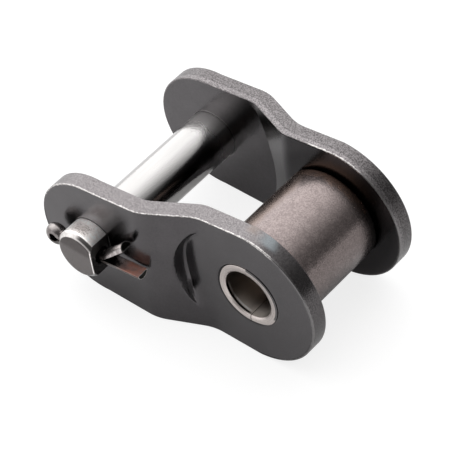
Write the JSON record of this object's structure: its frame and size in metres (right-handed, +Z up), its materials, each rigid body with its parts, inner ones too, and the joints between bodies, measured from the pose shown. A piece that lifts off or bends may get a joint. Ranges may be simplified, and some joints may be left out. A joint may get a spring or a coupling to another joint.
{
  "type": "offset roller chain link",
  "caption": "Cranked roller chain link with two side plates, a bush with a running roller, and a link pin held by a bent split pin.",
  "frame": {"origin": "centre of the bush bore, halfway along it", "axes": "+X from the link pin towards the bush end, +Y along the bush away from the split pin side, +Z up as the link lies on its plate ends"},
  "size_m": [0.0351, 0.0258, 0.0173],
  "materials": {
    "plate_steel": "dark heat-treated satin, with lighter granular blanked edges",
    "bush_steel": "bright curled strip, fine turned lines at its ends",
    "roller_steel": "warm satin steel with fine speckle",
    "pin_steel": "polished steel with a satin end face",
    "split_pin_wire": "dull half-round wire with a brown tint"
  },
  "bodies": {
    "link": {"cotter_side_plate": "plate_steel", "head_side_plate": "plate_steel", "bush": "bush_steel", "pin": "pin_steel", "cotter_pin": "split_pin_wire"},
    "roller": {"roller": "roller_steel"}
  },
  "joints": [
    {"name": "roller_spin", "type": "hinge", "parent": "link", "child": "roller", "pos_m": [0, 0, 0], "axis": [0, 1, 0], "continuous": true}
  ]
}
